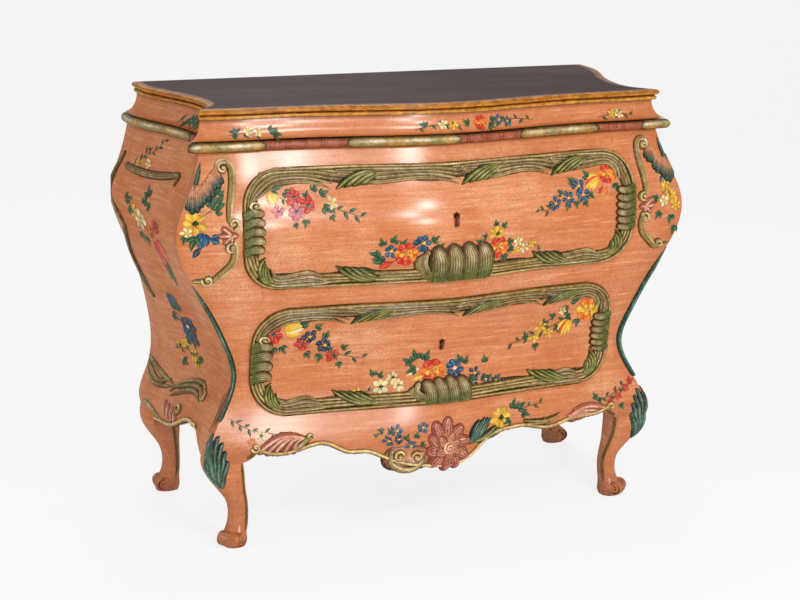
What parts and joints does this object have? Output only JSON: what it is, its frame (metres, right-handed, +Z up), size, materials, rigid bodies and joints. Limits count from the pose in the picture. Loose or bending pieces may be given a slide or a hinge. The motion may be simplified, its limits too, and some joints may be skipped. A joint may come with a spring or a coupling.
{
  "type": "bombe chest of drawers",
  "caption": "Swelling painted chest with two locking drawers, carved frames and corners, a moulded serpentine top and curved legs on scroll feet.",
  "frame": {"origin": "on the floor, under the middle of the chest's box", "axes": "+Z up, +X to the right along the chest's length as seen from the front, the front faces -Y"},
  "size_m": [1.154, 0.4948, 0.89],
  "materials": {
    "body": "salmon paint under an aged glossy varnish",
    "carving": "carved and painted sage green with cream lights",
    "rosette": "carved and painted pink",
    "top": "dark stained and waxed, with a gilt ochre edge",
    "inner_wood": "bare planed wood",
    "lock": "old dark iron",
    "bolt": "filed iron",
    "nails": "old cut iron"
  },
  "bodies": {
    "case": {"apron_rail": "body", "apron_rosette": "rosette", "apron_scroll": "carving", "back_nails": "nails", "back_panel": "inner_wood", "back_rail_bottom": "inner_wood", "back_rail_mid": "inner_wood", "back_rail_top": "inner_wood", "bottom_board": "inner_wood", "corner_ribs": "carving", "corner_scrolls": "carving", "crown_rail": "inner_wood", "dust_board": "inner_wood", "frieze_front": "body", "frieze_left": "body", "frieze_right": "body", "front_post_left": "body", "front_post_right": "body", "glue_blocks": "inner_wood", "lower_kicker_left": "inner_wood", "lower_kicker_right": "inner_wood", "lower_runner_left": "inner_wood", "lower_runner_right": "inner_wood", "mid_rail": "body", "rear_post_left": "body", "rear_post_right": "body", "side_panel_left": "body", "side_panel_right": "body", "top_board": "top", "top_rail": "body", "torus_front": "carving", "torus_left": "carving", "torus_right": "carving", "upper_kicker_left": "inner_wood", "upper_kicker_right": "inner_wood", "upper_runner_left": "inner_wood", "upper_runner_right": "inner_wood"},
    "upper_drawer": {"upper_drawer_back": "inner_wood", "upper_drawer_bottom": "inner_wood", "upper_drawer_frame": "carving", "upper_drawer_front": "body", "upper_drawer_side_left": "inner_wood", "upper_drawer_side_right": "inner_wood", "upper_lock_case": "lock"},
    "lower_drawer": {"lower_drawer_back": "inner_wood", "lower_drawer_bottom": "inner_wood", "lower_drawer_frame": "carving", "lower_drawer_front": "body", "lower_drawer_side_left": "inner_wood", "lower_drawer_side_right": "inner_wood", "lower_lock_case": "lock"},
    "upper_bolt": {"upper_lock_bolt": "bolt"},
    "lower_bolt": {"lower_lock_bolt": "bolt"}
  },
  "joints": [
    {"name": "upper_drawer_slide", "type": "slide", "parent": "case", "child": "upper_drawer", "axis": [0, -1, 0], "range_m": [0, 0.3]},
    {"name": "lower_drawer_slide", "type": "slide", "parent": "case", "child": "lower_drawer", "axis": [0, -1, 0], "range_m": [0, 0.3]},
    {"name": "upper_bolt_slide", "type": "slide", "parent": "upper_drawer", "child": "upper_bolt", "axis": [0, 0, 1], "range_m": [0, 0.008]},
    {"name": "lower_bolt_slide", "type": "slide", "parent": "lower_drawer", "child": "lower_bolt", "axis": [0, 0, 1], "range_m": [0, 0.008]}
  ]
}
